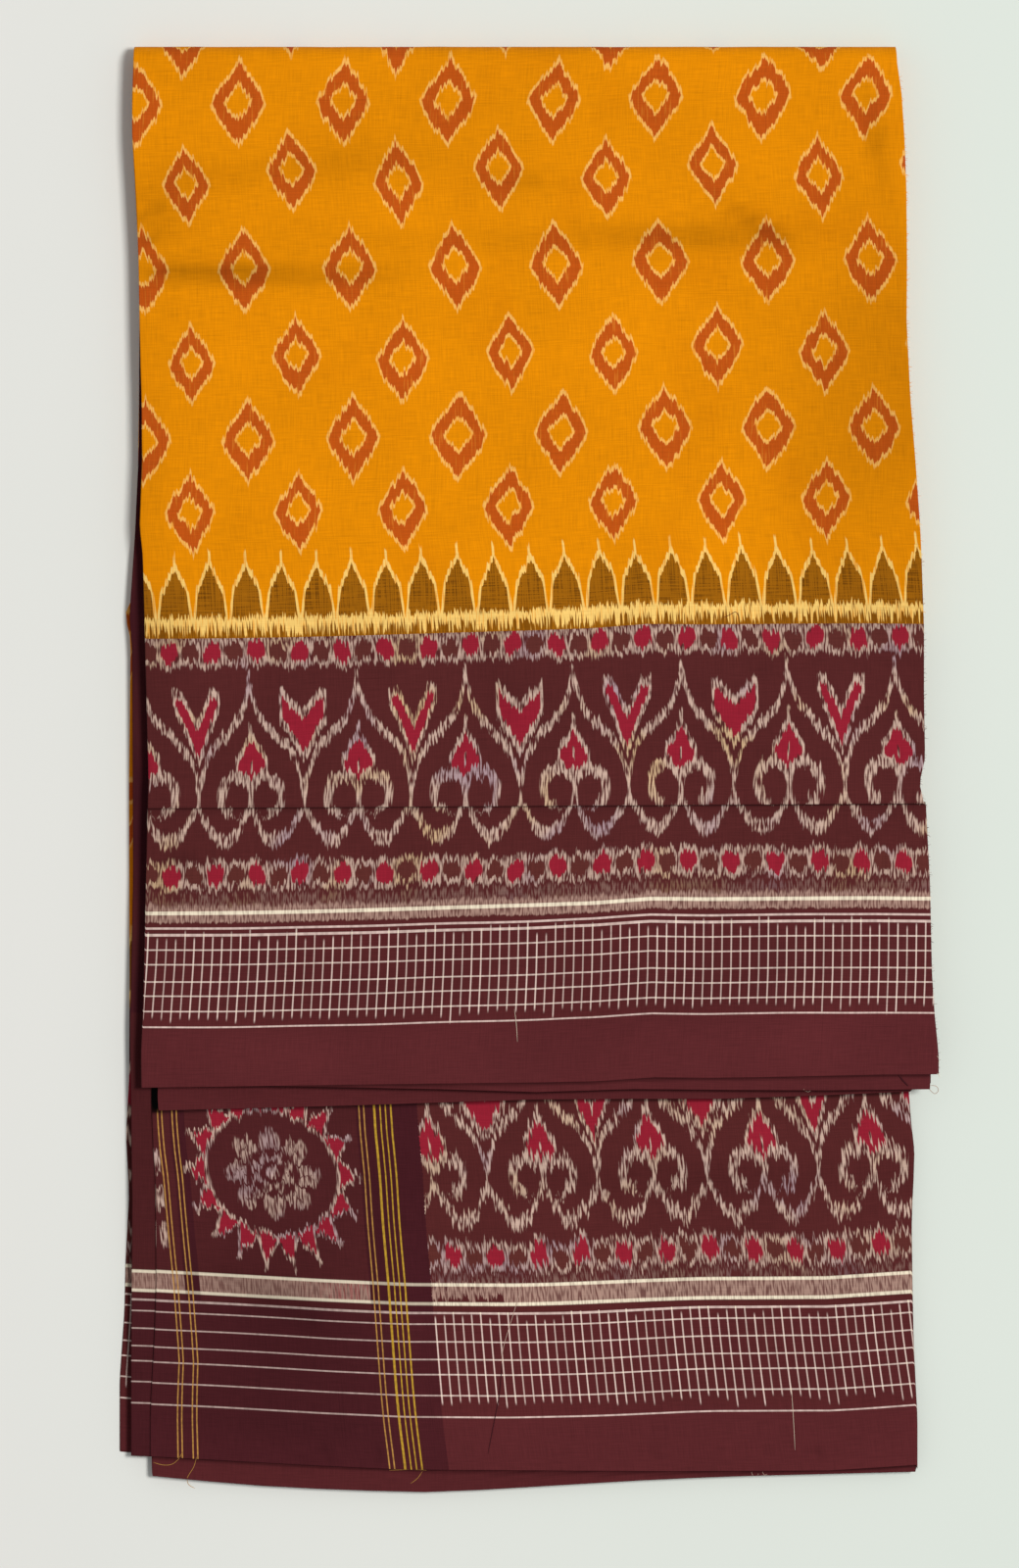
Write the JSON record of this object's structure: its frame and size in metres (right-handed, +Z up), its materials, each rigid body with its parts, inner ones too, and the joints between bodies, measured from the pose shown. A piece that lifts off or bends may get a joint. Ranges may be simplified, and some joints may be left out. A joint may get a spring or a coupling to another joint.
{
  "type": "folded saree",
  "caption": "Flat folded cotton saree: a long cloth folded end over end, then once across, its outer panel ending short so that the inner panel and pallu show.",
  "frame": {"origin": "on the surface that the bundle lies on, under the middle of its bounding box", "axes": "+Z up through the layers, +Y towards the top fold, +X towards the right side edge"},
  "size_m": [0.3808, 0.6733, 0.0171],
  "materials": {
    "body_cloth": "matte handloom cotton, mango yellow with ikat motifs",
    "border_cloth": "matte handloom cotton, maroon with ikat border",
    "pallu_cloth": "matte handloom cotton, dark maroon with gold stripes"
  },
  "bodies": {
    "root": {"outer_panel": "body_cloth", "under_panel": "body_cloth", "front_layer_2": "border_cloth", "front_layer_3": "border_cloth", "inner_panel": "border_cloth", "inner_layer_2": "border_cloth", "pallu_layer": "pallu_cloth", "hidden_layers": "body_cloth"}
  },
  "joints": []
}
